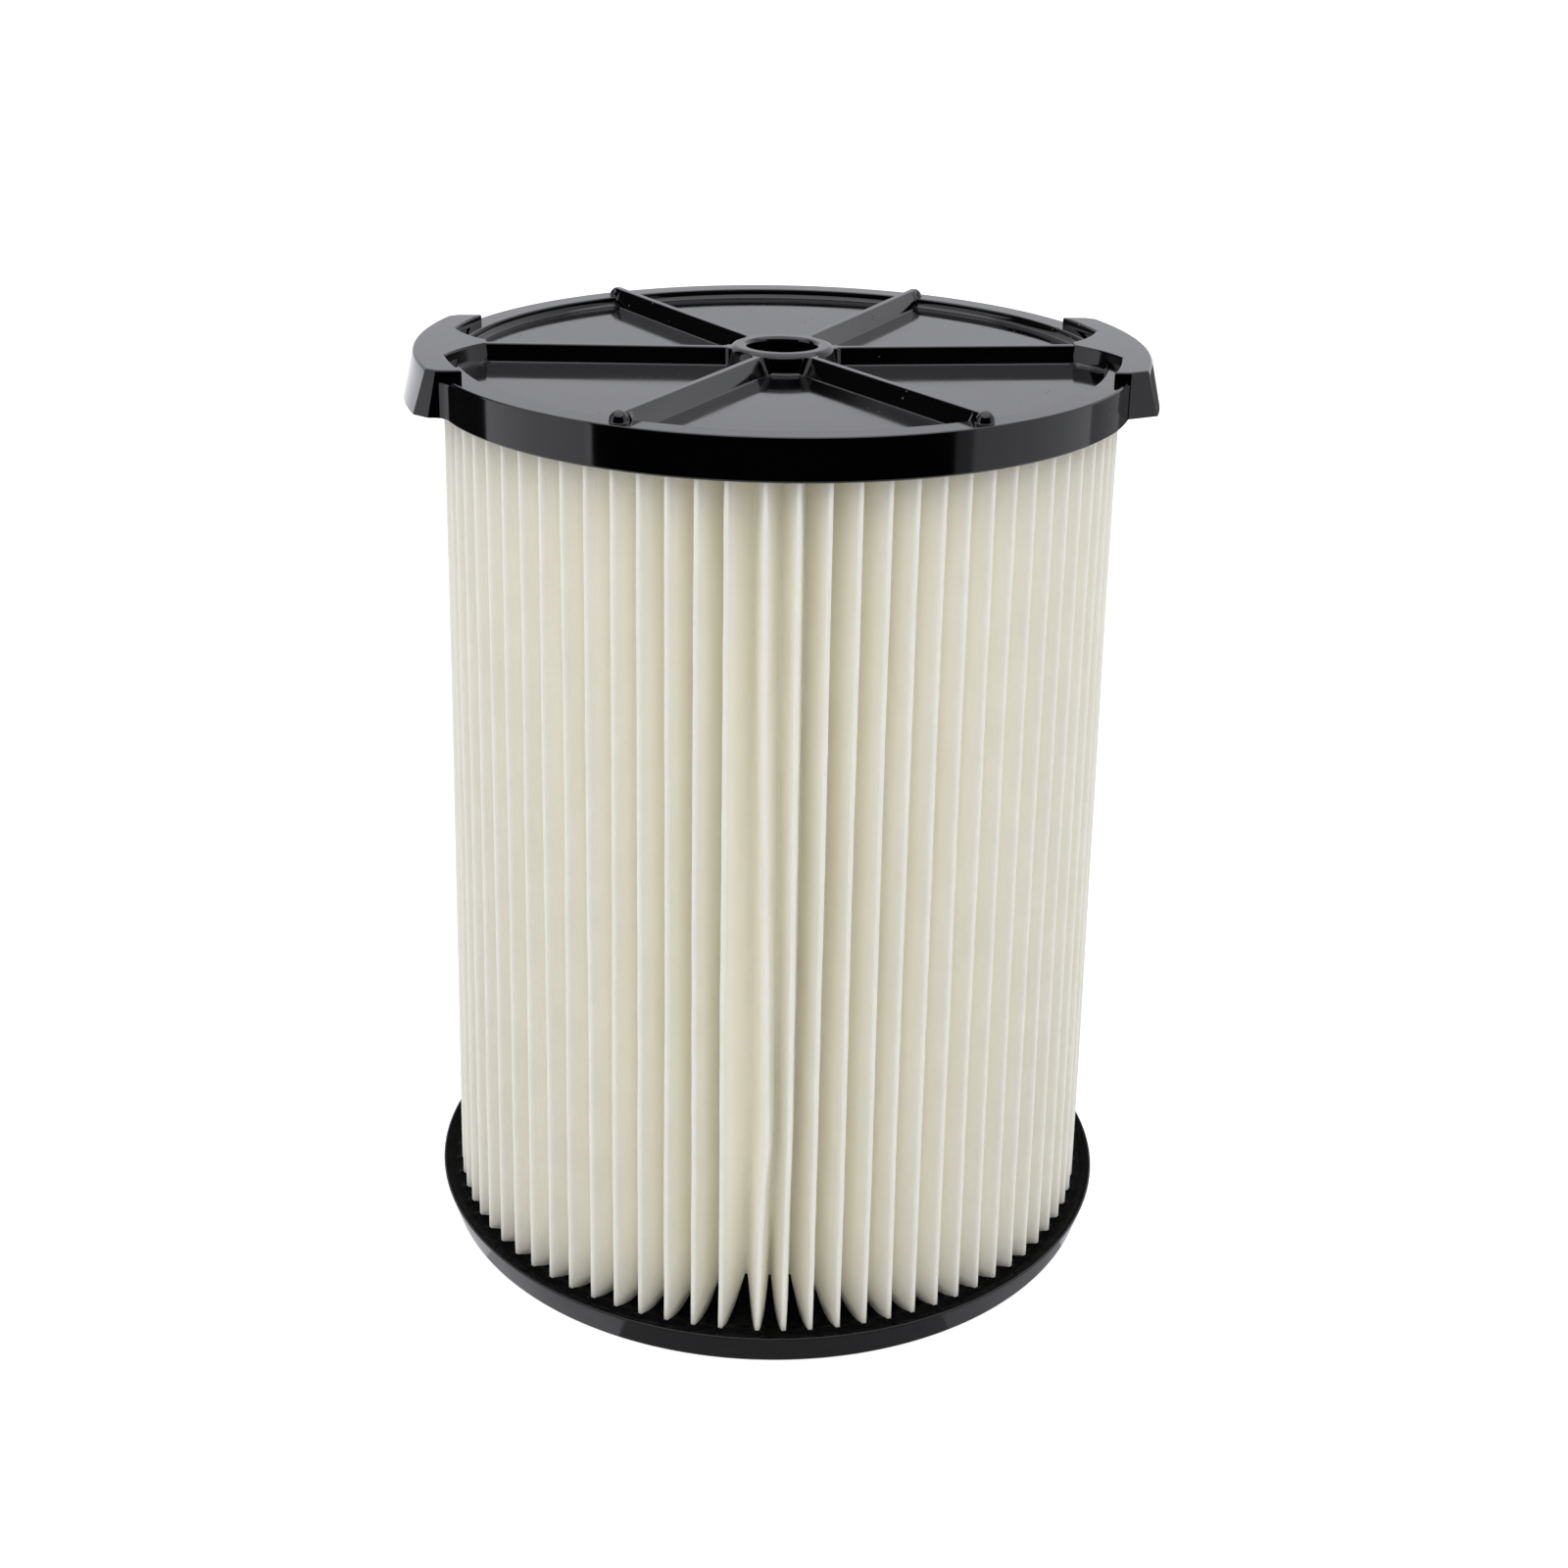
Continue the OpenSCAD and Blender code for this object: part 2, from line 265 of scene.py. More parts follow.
bmesh.ops.spin(
    sheet,
    geom=sheet.verts[:] + sheet.edges[:] + sheet.faces[:],
    cent=(0, 0, 0),
    axis=(0, 0, 1),
    angle=pitch * (pleats - 1),
    steps=pleats - 1,
    use_duplicate=True,
)
bmesh.ops.remove_doubles(sheet, verts=sheet.verts, dist=0.01)

for vert in sheet.verts:
    radius = math.hypot(vert.co.x, vert.co.y)
    turn = math.atan2(vert.co.y, vert.co.x) % (2 * math.pi)
    fold = round(turn / pitch)
    off = turn - fold * pitch
    height = vert.co.z
    nose_a = fold_angle(fold, height)
    if off > 0:
        valley_a = valley_angle(fold, height)
    else:
        valley_a = valley_angle(fold - 1, height)
    while valley_a - nose_a > math.pi:
        valley_a -= 2 * math.pi
    while nose_a - valley_a > math.pi:
        valley_a += 2 * math.pi
    depth = (nose_r - radius) / (nose_r - valley_r)
    even_valley = half if off > 0 else -half
    turn = nose_a + off + (valley_a - nose_a - even_valley) * depth * depth
    radius -= (1 - depth) * 0.3 * (0.5 + 0.5 * noise.noise(Vector((fold * 2.3, height / 60, 5))))
    radius += (1 - depth) * along(swell, height)
    if (fold == gap_fold and off > 0) or (fold == gap_fold + 1 and off < 0):
        radius += 4.5 * depth * depth * max(0, min(1, (height - 8) / 20, (215 - height) / 130))
    belly = 0.12 * noise.noise(Vector((fold * 1.9, height / 45, 8)))
    turn += belly * 4 * depth * (1 - depth) / radius
    vert.co = Vector((radius * math.cos(turn), radius * math.sin(turn), height))
bmesh.ops.recalc_face_normals(sheet, faces=sheet.faces)

cream, tree, shader, place = new_finish("cream filter paper", Specular_IOR_Level=0.15)
fibres = add_node(tree, "ShaderNodeMapping", {"Vector": place, "Scale": (1, 1, 0.22)})
fibre_noise = add_node(
    tree,
    "ShaderNodeTexNoise",
    {"Vector": fibres.outputs["Vector"], "Scale": 1500.0, "Detail": 4.0, "Roughness": 0.65},
)
cloud = add_node(tree, "ShaderNodeTexNoise", {"Vector": place, "Scale": 90.0, "Detail": 3.0})
mottle = add_node(
    tree,
    "ShaderNodeMath",
    {0: fibre_noise.outputs["Fac"], 1: cloud.outputs["Fac"]},
    operation="MULTIPLY",
)
mottled = spread(tree, mottle.outputs["Value"], 0, 1, 0.12, 0.4)
# Lighter paper colour for deep between the folds, which holds painted bounce light.
painted_bounce_paper = shade(tree, mottled, (0.95, 0.935, 0.86), (0.972, 0.96, 0.9))
# Painted bounce light: the paper deep between the folds is painted lighter than the outer folds, in place of the light
# that bounces down into the pleats.
flat_place = add_node(tree, "ShaderNodeMapping", {"Vector": place, "Scale": (1, 1, 0)})
reach = add_node(tree, "ShaderNodeVectorMath", {0: flat_place.outputs["Vector"]}, operation="LENGTH")
painted_bounce_fade = spread(tree, reach.outputs["Value"], 0, 1, (nose_r - 4) * mm, nose_r * mm)
outer_fold_paper = shade(tree, mottled, (0.83, 0.818, 0.755), (0.885, 0.873, 0.81))
tree.links.new(shade(tree, painted_bounce_fade, painted_bounce_paper, outer_fold_paper), shader.inputs["Base Color"])
tree.links.new(spread(tree, fibre_noise.outputs["Fac"], 0.8, 0.95), shader.inputs["Roughness"])
emboss(tree, shader, fibre_noise.outputs["Fac"], 0.08)
paper = make_piece("folded_paper", sheet, cream, "pleated_paper", slot="filter_paper", sharp=180)
paper_wall = paper.modifiers.new("paper thickness", "SOLIDIFY")
paper_wall.thickness = paper_t * mm
paper_wall.offset = 0


# Top cap
# One moulding in glossy black plastic: a dished disc with a raised rim, a skirt round the pleats,
# a hub with six ribs, and two hollow grips at the sides. The paper is glued into its underside.
cap_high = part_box("top_cap")[1] / mm
cap_wall = 2.0
peg_r = 1.95
peg_h = 2.3
cap_r = cap_high.y
rim_z = cap_high.z - peg_h
rim_in_r = cap_r - 6.1
disc_z = rim_z - 2.2
skirt_z = rim_z - 9.2
skirt_bore_r = cap_r - cap_wall
roof_z = disc_z - cap_wall
step_r = rim_in_r + cap_wall
dish = 0.7
hub_disc_z = disc_z - dish
hub_top_z = hub_disc_z + 4.5
hub_bore_r = frame["record"]["mounts"][0]["dims"]["r_mm"]
hub_top_r = hub_bore_r + 3.7
hub_root_r = hub_top_r + 1.0
spigot_r = cage_high.x - 1.6
rib_h = 4.0
back_rise = 0.66
grip_z = rim_z + 2.0


def eased(corners, steps=4, guard=0.12):
    """Points of a closed outline whose corners, given as (x, y, radius), are rounded by arcs.

    A guard point at both ends of an arc keeps the faces beside it shading flat.
    """
    outline = []
    for index, (x, y, radius) in enumerate(corners):
        here = Vector((x, y))
        if radius == 0:
            outline.append(here)
            continue
        back = (Vector(corners[index - 1][:2]) - here).normalized()
        ahead = (Vector(corners[(index + 1) % len(corners)][:2]) - here).normalized()
        half_turn = back.angle(ahead) / 2
        centre = here + (back + ahead).normalized() * radius / math.sin(half_turn)
        start = here + back * radius / math.tan(half_turn) - centre
        end = here + ahead * radius / math.tan(half_turn) - centre
        outline.append(centre + start + back * guard)
        for step in range(steps + 1):
            outline.append(centre + start.slerp(end, step / steps) * radius)
        outline.append(centre + end + ahead * guard)
    return outline


def turn_solid(bm, outline, steps, at=(0, 0), closed=True):
    """Adds a solid turned about an upright axis from points given as (radius, height)."""
    verts = [bm.verts.new((at[0] + r, at[1], z)) for r, z in outline]
    ends = verts[1:] + verts[:1] if closed else verts[1:]
    edges = [bm.edges.new(pair) for pair in zip(verts, ends)]
    made = bmesh.ops.spin(
        bm,
        geom=verts + edges,
        cent=(*at, 0),
        axis=(0, 0, 1),
        angle=2 * math.pi,
        steps=steps,
        use_merge=True,
    )
    return made


def extrude_to(bm, face):
    """Extrudes a face in place and returns the new end face."""
    made = bmesh.ops.extrude_face_region(bm, geom=[face])["geom"]
    if face.is_valid and all(len(edge.link_faces) > 2 for edge in face.edges):
        bm.faces.remove(face)
    return next(part for part in made if isinstance(part, bmesh.types.BMFace))


cap = bmesh.new()
dish_rings = [
    (r, hub_disc_z + dish * (r - hub_root_r) / (rim_in_r - hub_root_r), 0) for r in range(17, 71, 6)
]
shell_outline = eased(
    [
        (hub_bore_r, roof_z - dish - 4, 0.4),
        (hub_bore_r, hub_top_z, 0.9),
        (hub_top_r, hub_top_z, 1.5),
        (hub_root_r, hub_disc_z, 0.9),
    ]
    + dish_rings
    + [
        (rim_in_r, disc_z, 1.5),
        (rim_in_r + 0.15, rim_z, 0.35),
        (cap_r, rim_z, 0.35),
        (cap_r, skirt_z, 0.4),
        (skirt_bore_r, skirt_z, 0.4),
        (skirt_bore_r, rim_z - cap_wall, 0),
        (step_r, rim_z - cap_wall, 0),
        (step_r, roof_z, 0),
        (spigot_r, roof_z, 0),
        (spigot_r, roof_z - 6, 0.3),
        (spigot_r - 1.6, roof_z - 6, 0.3),
        (spigot_r - 1.6, roof_z, 0.5),
        (hub_top_r, roof_z - dish, 0.8),
        (hub_top_r, roof_z - dish - 4, 0.4),
    ]
)
turn_solid(cap, shell_outline, 256)
for vert in cap.verts:
    radius = math.hypot(vert.co.x, vert.co.y)
    if 16 < radius < 71 and vert.co.z > hub_disc_z - 0.1:
        vert.co.z += 0.03 * noise.noise(Vector((vert.co.x / 22, vert.co.y / 22, 3)))

# Ribs: the section has drafted sides, eased top edges and small fillets where it meets the disc.
rib_section = eased(
    [
        (-3.6, -1.2, 0),
        (-3.6, -0.03, 0),
        (-2.4, 0, 0.4),
        (-0.8, rib_h, 0.3),
        (0.8, rib_h, 0.3),
        (2.4, 0, 0.4),
        (3.6, -0.03, 0),
        (3.6, -1.2, 0),
    ]
)
rib_slope = dish / (rim_in_r - hub_root_r)
rib_end = rim_in_r + 2.7
# Places along a rib, as (distance from the axis, widening for the fillet against hub or rim).
rib_stations = (
    (hub_top_r - 0.6, 1.3),
    (hub_top_r + 0.5, 1.1),
    (hub_top_r + 0.8, 0.6),
    (hub_top_r + 1.2, 0.3),
    (hub_top_r + 1.8, 0.08),
    (hub_top_r + 2.5, 0),
    (42, 0),
    (rim_in_r - 1.5, 0),
    (rim_in_r - 0.8, 0.1),
    (rim_in_r - 0.3, 0.35),
    (rim_in_r + 0.1, 0.8),
    (rim_in_r + 0.5, 0.8),
    (rim_in_r + 0.6, 0),
    (rib_end, 0),
)
rib_low = rim_z - disc_z
# The two front ribs stand a little closer together than the rest.
rib_angles = [math.radians(a) for a in (0, 60, 120, 180, 241.3, 298.7)]
for angle in rib_angles:
    turn = Matrix.Rotation(angle, 3, "Z")
    face = None
    for x, widen in rib_stations:
        if face is None:
            face = cap.faces.new([cap.verts.new((x, y, z)) for y, z in rib_section])
        else:
            face = extrude_to(cap, face)
        for vert, (y, z) in zip(face.verts, rib_section):
            fades = x > hub_root_r + 5 and z > rib_low - 0.7
            grow = widen * max(0, (rib_low - z) / 0.7) if fades else widen
            vert.co = Vector((x, y + math.copysign(min(grow, widen), y), 0))
            vert.co.z = hub_disc_z + rib_slope * (x - hub_root_r) + z
            vert.co = turn @ vert.co

# Domed pegs close the four slanting ribs on the rim.
peg_x = rib_end
for angle in (rib_angles[1], rib_angles[2], rib_angles[4], rib_angles[5]):
    peg_top = cap_high.z - (back_rise * 0.7 if angle < math.pi else 0)
    outline = [(0, rim_z - 0.8), (peg_r + 0.3, rim_z - 0.8), (peg_r + 0.25, rim_z), (peg_r + 0.1, rim_z + 0.08)]
    outline += [
        (peg_r * math.cos(a), peg_top - peg_r + peg_r * math.sin(a))
        for a in (math.radians(15 * step) for step in range(7))
    ]
    turn_solid(cap, outline, 28, (peg_x * math.cos(angle), peg_x * math.sin(angle)), False)

# Gussets spread the side ribs into the grips' plates.
plate_r = cap_r - 3.0
gusset_rows = (
    (disc_z - 0.6, 2.2),
    (disc_z - 0.02, 1.5),
    (disc_z + 0.12, 1.05),
    (disc_z + 0.45, 0.65),
    (disc_z + 1.0, 0.42),
    (grip_z - 0.5, 0.08),
    (grip_z - 0.35, 0.05),
    (grip_z - 0.1, -0.05),
    (grip_z - 0.01, -0.3),
    (grip_z - 0.01, -0.42),
)
gusset_side = []
for step in range(9):
    share = step / 8
    x = 66.6 + 8.0 * share + 0.55 * 4 * share * (1 - share)
    y = 1.6 + 12.6 * share - 0.85 * 4 * share * (1 - share)
    gusset_side.append((x, y))
for side in (-1, 1):
    outline = [(x, -y) for x, y in gusset_side]
    outline += [(plate_r + 1.2, -14.6), (plate_r + 1.2, 14.6)]
    outline += [(x, y) for x, y in gusset_side[::-1]]
    face = None
    for z, grow in gusset_rows:
        if face is None:
            face = cap.faces.new([cap.verts.new((x, y, z)) for x, y in outline])
        else:
            face = extrude_to(cap, face)
        for vert, (x, y) in zip(face.verts, outline):
            if x < plate_r + 1:
                x -= 0.85 * grow
                y += math.copysign(0.52 * grow, y)
            vert.co = Vector((side * x, y, z))

# Grips: a plate over the rim and a flared wall, moulded hollow, with blends into the skirt.
grip_half = 30.2
grip_low_z = skirt_z + 0.9
skirt_x = math.sqrt((cap_r - cap_wall / 2) ** 2 - grip_half**2)


def grip_plan(outer_r, front, back):
    """Outline of a grip seen from above; each outer corner is cut off at (half width, cut length)."""
    inner_sweep = math.asin(grip_half / plate_r) / 12
    corners = []
    for end, (corner_y, cut_x) in ((-1, front), (1, back)):
        outer_x = math.sqrt(outer_r**2 - corner_y**2)
        corners.append(
            [(skirt_x, end * grip_half, 0), (outer_x - cut_x, end * grip_half, 0.8), (outer_x, end * corner_y, 0.8)]
        )
    start = -math.asin(front[0] / outer_r)
    sweep = (math.asin(back[0] / outer_r) - start) / 30
    turns = [start + sweep * i for i in range(1, 30)]
    outer = [(outer_r * math.cos(a), outer_r * math.sin(a), 0) for a in turns]
    inner = [
        (plate_r * math.cos(inner_sweep * i), plate_r * math.sin(inner_sweep * i), 0)
        for i in range(12, -13, -1)
    ]
    return eased(corners[0] + outer + corners[1][::-1] + inner)


def grip_blend(start_a, knee, end):
    """Hollow blend from the skirt to the end wall of a grip, with its two points inside the wall."""
    start = Vector((cap_r * math.cos(start_a), cap_r * math.sin(start_a)))
    pulls = [knot.lerp(Vector(knee), 0.667) for knot in (start, Vector(end))]
    curve = interpolate_bezier(start, *pulls, Vector(end), 13)
    return curve + [curve[-1] - Vector((0, 0.7)), Vector((skirt_x, grip_half - 0.7)), start * 0.99]


wide_blend = grip_blend(math.radians(27.4), (73.3, grip_half), (75.5, grip_half))
tight_blend = grip_blend(math.radians(25.6), (72.9, grip_half + 0.5), (73.3, grip_half - 0.1))
blend_eye = Vector((80, 42))
# The right grip's front end is cut back further than its other ends and the left grip's.
for side, front_top, front_low in ((-1, (28.8, 2.3), (27.1, 3.4)), (1, (28.4, 4.2), (27.1, 7.2))):
    top_plan = grip_plan(cap_r + 3.6, front_top, (28.8, 2.3))
    low_plan = grip_plan(cap_r + 6.0, front_low, (27.1, 3.4))
    grip = bmesh.new()
    top = grip.faces.new([grip.verts.new((x, y, grip_z)) for x, y in top_plan])
    ring = top.edges[:]
    for depth in (3.0, grip_z - grip_low_z):
        made = bmesh.ops.extrude_edge_only(grip, edges=ring)["geom"]
        new_verts = [part for part in made if isinstance(part, bmesh.types.BMVert)]
        ring = []
        for vert in new_verts:
            vert.co.z = grip_z - depth
        for edge in grip.edges:
            if all(vert in new_verts for vert in edge.verts):
                middle = (edge.verts[0].co + edge.verts[1].co) / 2
                if math.hypot(middle.x, middle.y) > cap_r - cap_wall / 2 - 0.1:
                    ring.append(edge)
    for vert in grip.verts:
        share = (grip_z - vert.co.z) / (grip_z - grip_low_z)
        here = min(range(len(top_plan)), key=lambda i: (top_plan[i] - vert.co.xy).length)
        vert.co.xy = top_plan[here].lerp(low_plan[here], share)
    bmesh.ops.recalc_face_normals(grip, faces=grip.faces)
    if top.normal.z < 0:
        bmesh.ops.reverse_faces(grip, faces=grip.faces)
    bmesh.ops.solidify(grip, geom=grip.faces[:], thickness=cap_wall)
    rounded = [
        edge
        for edge in grip.edges
        if all(vert.co.z > grip_z - 0.01 for vert in edge.verts)
        and abs(edge.link_faces[0].normal.z - edge.link_faces[1].normal.z) > 0.5
    ]
    bmesh.ops.bevel(
        grip, geom=rounded, offset=0.45, segments=3, profile=0.5, affect="EDGES", material=-1
    )
    flats = [face for face in grip.faces if face.normal.z > 0.999 and face.calc_area() > 20]
    bmesh.ops.inset_region(grip, faces=flats, thickness=0.12, use_even_offset=True)
    if side < 0:
        bmesh.ops.scale(grip, vec=(-1, 1, 1), verts=grip.verts)
    grip_mesh = bpy.data.meshes.new("grip")
    grip.to_mesh(grip_mesh)
    grip.free()
    cap.from_mesh(grip_mesh)
    bpy.data.meshes.remove(grip_mesh)
    for end in (-1, 1):
        outline = tight_blend if side > 0 and end < 0 else wide_blend
        face = None
        for z, shrink in (
            (grip_low_z, 0),
            (rim_z - 1.1, 0),
            (rim_z - 0.95, 0),
            (rim_z - 0.65, 0.1),
            (rim_z - 0.55, 0.3),
            (rim_z - 0.55, 0.42),
        ):
            if face is None:
                face = cap.faces.new([cap.verts.new((0, 0, z)) for p in outline])
            else:
                face = extrude_to(cap, face)
            for vert, p in zip(face.verts, outline):
                spot = p + (p - blend_eye).normalized() * shrink
                vert.co = Vector((side * spot.x, end * spot.y, z))
bmesh.ops.remove_doubles(cap, verts=cap.verts, dist=0.0005)
# The moulding has warped: its back stands a little higher than its front.
for vert in cap.verts:
    if vert.co.y > 0 and vert.co.z > roof_z + 0.3:
        vert.co.z += back_rise * (vert.co.y / cap_r) ** 2
bmesh.ops.recalc_face_normals(cap, faces=cap.faces)

gloss_black, tree, shader, place = new_finish("gloss black plastic", Specular_IOR_Level=0.5)
marks = add_skin(tree, place, 1400.0)
tree.links.new(shade(tree, marks["Pit"], (0.0006, 0.0006, 0.0009), (0.06, 0.06, 0.065)), shader.inputs["Base Color"])
tree.links.new(spread(tree, marks["Wave"], 0.06, 0.1), shader.inputs["Roughness"])
emboss(tree, shader, marks["Pit"], -0.05)
make_piece("ribbed_cap", cap, gloss_black, "top_cap", slot="cap_plastic", sharp=38)


# Cap adhesive
# Black compound poured into the upturned cap, where it holds the upper ends of the paper. It
# fills the channel between the skirt and the cage and creeps a little way up both walls.
compound = bmesh.new()
glue_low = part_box("cap_adhesive")[0].z / mm
glue_in_r = cage_high.x
turn_solid(
    compound,
    eased(
        [
            (glue_in_r + 0.02, glue_low - 0.4, 0),
            (glue_in_r + 1.6, glue_low + 0.3, 0.8),
            (skirt_bore_r - 1.4, glue_low + 0.3, 0.8),
            (skirt_bore_r, glue_low - 0.3, 0),
            (skirt_bore_r, rim_z - cap_wall, 0),
            (step_r, rim_z - cap_wall, 0),
            (step_r, roof_z, 0),
            (glue_in_r + 0.02, roof_z, 0),
        ]
    ),
    156,
)
bmesh.ops.recalc_face_normals(compound, faces=compound.faces)

cast_black, tree, shader, place = new_finish("cast black compound", Specular_IOR_Level=0.45)
marks = add_skin(tree, place, 420.0)
tree.links.new(shade(tree, marks["Grain"], (0.0015, 0.0015, 0.002), (0.005, 0.005, 0.0055)), shader.inputs["Base Color"])
tree.links.new(spread(tree, marks["Wave"], 0.22, 0.36), shader.inputs["Roughness"])
emboss(tree, shader, marks["Grain"], 0.05)
make_piece("poured_adhesive", compound, cast_black, "cap_adhesive", slot="adhesive")


# Foot ring
# A soft black ring, cast round the lower ends of the paper and the cage in an open mould. Its
# upper face sags between a firm outer edge and the pleats, and creeps up where it wets them.
ring = bmesh.new()
ring_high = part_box("foot_ring")[1] / mm
mouth_r = frame["record"]["mounts"][1]["dims"]["r_mm"]
ring_r = ring_high.y
ring_z = ring_high.z
tip_r = paper_high.x + 1.45
bed = [
    (cage_high.x + 0.5, ring_z, 0),
    (59.5, ring_z - 0.1, 0),
    (61.0, ring_z - 0.6, 0),
    (63.5, ring_z - 1.5, 0),
    (67.0, ring_z - 2.5, 0),
    (70.5, ring_z - 2.9, 0),
    (73.0, ring_z - 2.8, 0),
    (75.0, ring_z - 2.3, 0),
    (76.3, ring_z - 1.8, 0),
]
bed += [(77.2 + 0.28 * step, ring_z - 1.45, 0) for step in range(8)]
bed += [(80.0, ring_z - 1.2, 0), (80.7, ring_z - 0.8, 0), (81.3, ring_z - 0.35, 0)]
ring_outline = eased(
    [
        (mouth_r, 1.2, 0.3),
        (mouth_r, ring_z, 0.4),
    ]
    + bed
    + [
        (81.8, ring_z, 0),
        (ring_r, ring_z, 0.25),
        (ring_r - 2.4, 0, 0.5),
        (mouth_r + 1.2, 0, 0.3),
    ],
    3,
)
turn_solid(ring, ring_outline, pleats * 12)
tip_angles = [fold_angle(fold, ring_z) for fold in range(pleats)]
for vert in ring.verts:
    radius = math.hypot(vert.co.x, vert.co.y)
    if 58.8 < radius < 80 and vert.co.z > 4:
        vert.co.z += 0.03 * noise.noise(Vector((vert.co.x / 5, vert.co.y / 5, 4)))
    if abs(radius - tip_r) < 2 and vert.co.z > 4:
        turn = math.atan2(vert.co.y, vert.co.x) % (2 * math.pi)
        near = [tip_angles[round(turn / pitch + step) % pleats] - turn for step in (-1, 0, 1)]
        off = min(abs((a + math.pi) % (2 * math.pi) - math.pi) for a in near) * radius
        spot = Vector((radius - tip_r - 0.25, off * 0.8))
        vert.co.z += 0.55 * math.exp(-((spot.length / 0.55) ** 2))
bmesh.ops.recalc_face_normals(ring, faces=ring.faces)
for face in ring.faces:
    middle = face.calc_center_median()
    if middle.z > 4 and math.hypot(middle.x, middle.y) < ring_r - 0.6 and face.normal.z > 0.2:
        face.material_index = 1
foot = make_piece("cast_foot_ring", ring, cast_black, "foot_ring", slot="ring_rubber")

# The face that was left open while the ring cured has a deeper, less mirror-like black.
open_black, tree, shader, place = new_finish("open cast face", Specular_IOR_Level=0.02)
marks = add_skin(tree, place, 420.0)
tree.links.new(shade(tree, marks["Grain"], (0.001, 0.001, 0.0013), (0.003, 0.003, 0.0035)), shader.inputs["Base Color"])
tree.links.new(spread(tree, marks["Wave"], 0.14, 0.28), shader.inputs["Roughness"])
foot.data.materials.append(open_black)


# Studio
# A white floor and white surroundings, an even light from both sides and above, and dark and
# pale cards round the object, which only its gloss sees.
scene = bpy.context.scene
scene.view_settings.view_transform = "Standard"
# Light reaches the bottom of the pale folds only after many bounces.
scene.cycles.diffuse_bounces = 10


def stage_piece(name, bm, material):
    """Turns geometry in metres into a stage object."""
    mesh = bpy.data.meshes.new(name)
    bm.to_mesh(mesh)
    bm.free()
    mesh.materials.append(material)
    made = bpy.data.objects.new(name, mesh)
    scene.collection.objects.link(made)
    return made


floor_white = bpy.data.materials.new("floor white")
floor_white.use_nodes = True
tree = floor_white.node_tree
tree.nodes.remove(tree.nodes["Principled BSDF"])
ray = tree.nodes.new("ShaderNodeLightPath")
lit = add_node(tree, "ShaderNodeBsdfDiffuse", {"Color": (0.5, 0.5, 0.5, 1)})
soft = add_node(tree, "ShaderNodeBsdfDiffuse", {"Color": (0.42, 0.42, 0.42, 1)})
lift = add_node(tree, "ShaderNodeEmission", {"Strength": 0.78})
seen = add_node(tree, "ShaderNodeAddShader", {0: soft.outputs["BSDF"], 1: lift.outputs["Emission"]})
bounce = add_node(tree, "ShaderNodeBsdfDiffuse", {"Color": (0.75, 0.75, 0.75, 1)})
glow = add_node(tree, "ShaderNodeEmission", {"Strength": 0.3})
mirrored = add_node(tree, "ShaderNodeAddShader", {0: bounce.outputs["BSDF"], 1: glow.outputs["Emission"]})
for_camera = add_node(
    tree,
    "ShaderNodeMixShader",
    {0: ray.outputs["Is Camera Ray"], 1: lit.outputs["BSDF"], 2: seen.outputs["Shader"]},
)
for_gloss = add_node(
    tree,
    "ShaderNodeMixShader",
    {0: ray.outputs["Is Glossy Ray"], 1: for_camera.outputs["Shader"], 2: mirrored.outputs["Shader"]},
)
tree.links.new(for_gloss.outputs["Shader"], tree.nodes["Material Output"].inputs["Surface"])
floor = bmesh.new()
bmesh.ops.create_grid(floor, x_segments=1, y_segments=1, size=6)
stage_piece("floor", floor, floor_white)

world = bpy.data.worlds.new("surroundings")
world.use_nodes = True
tree = world.node_tree
ray = tree.nodes.new("ShaderNodeLightPath")
# The light falls mostly from above, so it fades under the cap and towards the bottom of the folds.
around = tree.nodes.new("ShaderNodeTexCoord").outputs["Generated"]
upward = add_node(tree, "ShaderNodeSeparateXYZ", {"Vector": around})
ambient = spread(tree, upward.outputs["Z"], 0.66, 1.5, 0, 1)
gloss_level = add_node(
    tree,
    "ShaderNodeMapRange",
    {"Value": ray.outputs["Is Glossy Ray"], "To Min": ambient, "To Max": 0.85},
)
level = add_node(
    tree,
    "ShaderNodeMix",
    {"Factor": ray.outputs["Is Camera Ray"], "A": gloss_level.outputs["Result"], "B": 1.0},
)
tree.links.new(level.outputs["Result"], tree.nodes["Background"].inputs["Strength"])
cool = shade(tree, ray.outputs["Is Glossy Ray"], (1, 1, 1), (0.975, 0.98, 1.03))
tree.links.new(cool, tree.nodes["Background"].inputs["Color"])
scene.world = world


def add_softbox(name, place, size, radiance, aim=(0, 0, 0.11)):
    """A square lamp of a given brightness that faces the object."""
    lamp = bpy.data.lights.new(name, "AREA")
    lamp.size = size
    lamp.energy = math.pi * radiance * size * size
    made = bpy.data.objects.new(name, lamp)
    made.location = place
    made.rotation_euler = (Vector(place) - Vector(aim)).to_track_quat("Z", "Y").to_euler()
    made.visible_glossy = False
    scene.collection.objects.link(made)


add_softbox("left softbox", (-1.0, -0.45, 0.75), 0.8, 0.95)
add_softbox("right softbox", (1.0, -0.45, 0.75), 0.8, 0.8)
add_softbox("front softbox", (0, -1.1, 0.8), 0.8, 0.25)


def new_card_finish(name, brightness):
    """A plain glowing surface."""
    material = bpy.data.materials.new(name)
    material.use_nodes = True
    tree = material.node_tree
    tree.nodes.remove(tree.nodes["Principled BSDF"])
    glow = add_node(tree, "ShaderNodeEmission", {"Color": (0.975, 0.98, 1.03, 1), "Strength": brightness})
    tree.links.new(glow.outputs["Emission"], tree.nodes["Material Output"].inputs["Surface"])
    return material


def hide_from_all_but_gloss(card):
    """Lets only reflections see a card."""
    card.visible_camera = False
    card.visible_diffuse = False
    card.visible_shadow = False
    card.visible_transmission = False


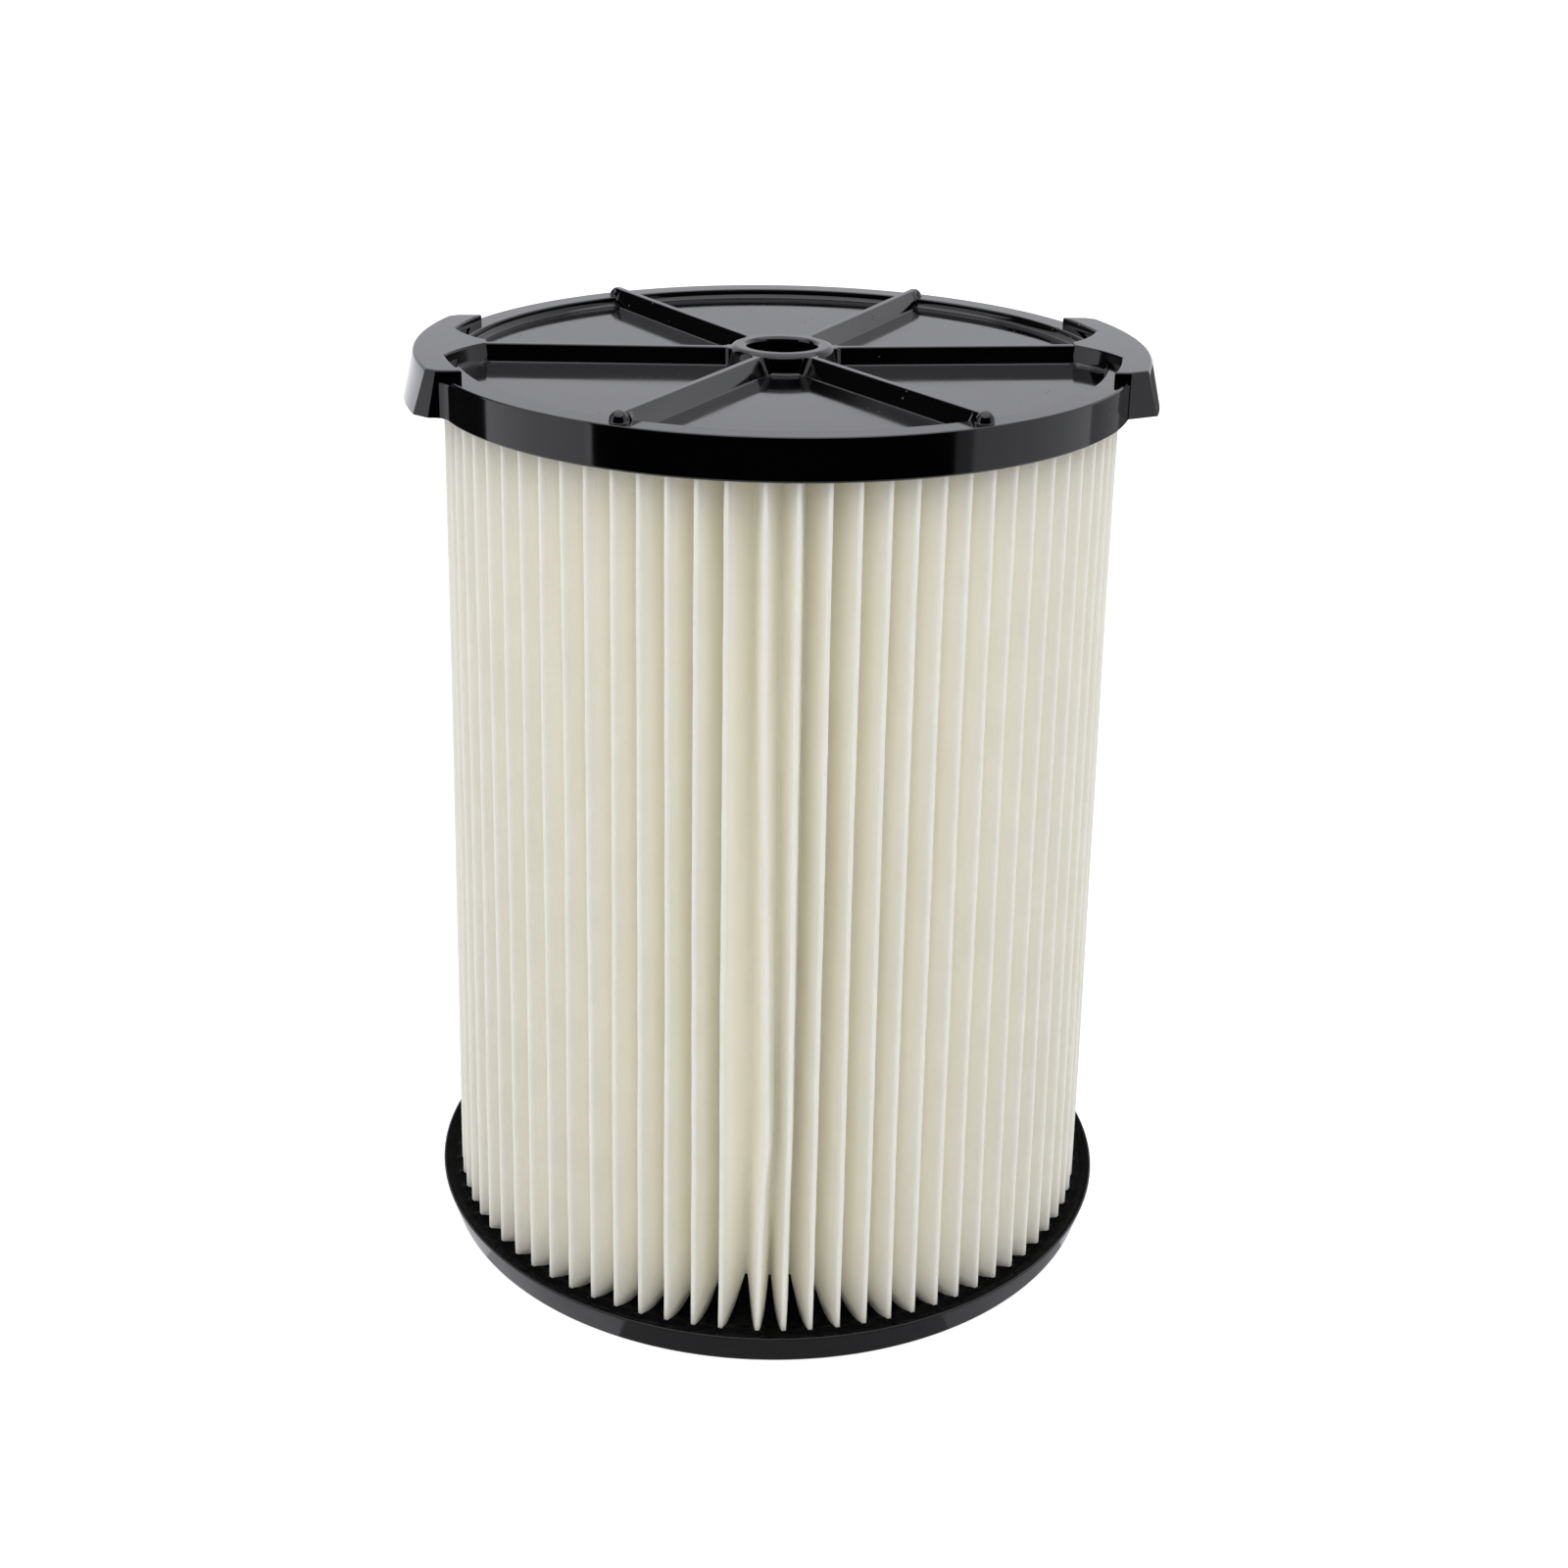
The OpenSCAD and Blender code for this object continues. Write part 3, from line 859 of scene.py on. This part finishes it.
def spin_card(bm, ends, start, end):
    """Sweeps the line between two points round the upright axis, from start to end in degrees."""
    edge = bm.edges.new(ends)
    bmesh.ops.rotate(bm, verts=ends, cent=(0, 0, 0), matrix=Matrix.Rotation(math.radians(start), 3, "Z"))
    bmesh.ops.spin(
        bm, geom=ends + [edge], cent=(0, 0, 0), axis=(0, 0, 1), angle=math.radians(end - start), steps=24
    )


ceiling = bmesh.new()
bmesh.ops.create_circle(
    ceiling, cap_ends=True, segments=48, radius=0.7, matrix=Matrix.Translation((0, -0.1, 0.95))
)
hide_from_all_but_gloss(stage_piece("ceiling_card", ceiling, new_card_finish("ceiling", 2.0)))

# Cards, as (name, from and to in degrees from the camera's side towards +X, brightness, heights).
card_r = 0.5
for name, start, end, brightness, low_z, top_z in (
    ("front_card", -60, 48, 0.0, 0.001, 0.58),
    ("front_right_card", 48, 54, 0.35, 0.001, 0.6),
    ("right_card", 54, 105, 0.88, 0.001, 0.6),
    ("right_back_low_card", 105, 128, 0.35, 0.001, 0.16),
    ("right_far_low_card", 128, 165, 0.12, 0.001, 0.16),
    ("right_back_card", 105, 150, 1.05, 0.16, 0.6),
    ("left_card", -104, -62, 1.14, 0.001, 0.6),
    ("left_back_flag", -131, -104, 0.02, 0.001, 0.6),
    ("left_far_card", -176, -131, 1.35, 0.001, 0.2),
):
    bm = bmesh.new()
    feet = [bm.verts.new((0, -card_r, z)) for z in (low_z, top_z)]
    spin_card(bm, feet, start, end)
    hide_from_all_but_gloss(stage_piece(name, bm, new_card_finish(name, brightness)))
# Rings on the floor close round the foot, which the ring's sloping wall mirrors.
for name, start, end, brightness in (
    ("front_floor_card", -28, 28, 0.24),
    ("left_floor_card", -60, -28, 0.72),
    ("far_left_floor_card", -130, -60, 1.2),
    ("right_floor_card", 28, 60, 0.46),
    ("far_right_floor_card", 60, 130, 1.0),
):
    bm = bmesh.new()
    spin_card(bm, [bm.verts.new((0, -r, 0.0004)) for r in (0.0803, 0.14)], start, end)
    hide_from_all_but_gloss(stage_piece(name, bm, new_card_finish(name, brightness)))

camera = bpy.data.cameras.new("camera")
camera.lens = 49.5417
camera.shift_x = 0.011885
camera.shift_y = -0.093852
camera_stand = bpy.data.objects.new("camera", camera)
camera_stand.location = (-0.03162, -0.48110, 0.31514)
camera_stand.rotation_euler = [math.radians(a) for a in (70.4288, -0.9047, -3.1168)]
scene.collection.objects.link(camera_stand)
scene.camera = camera_stand
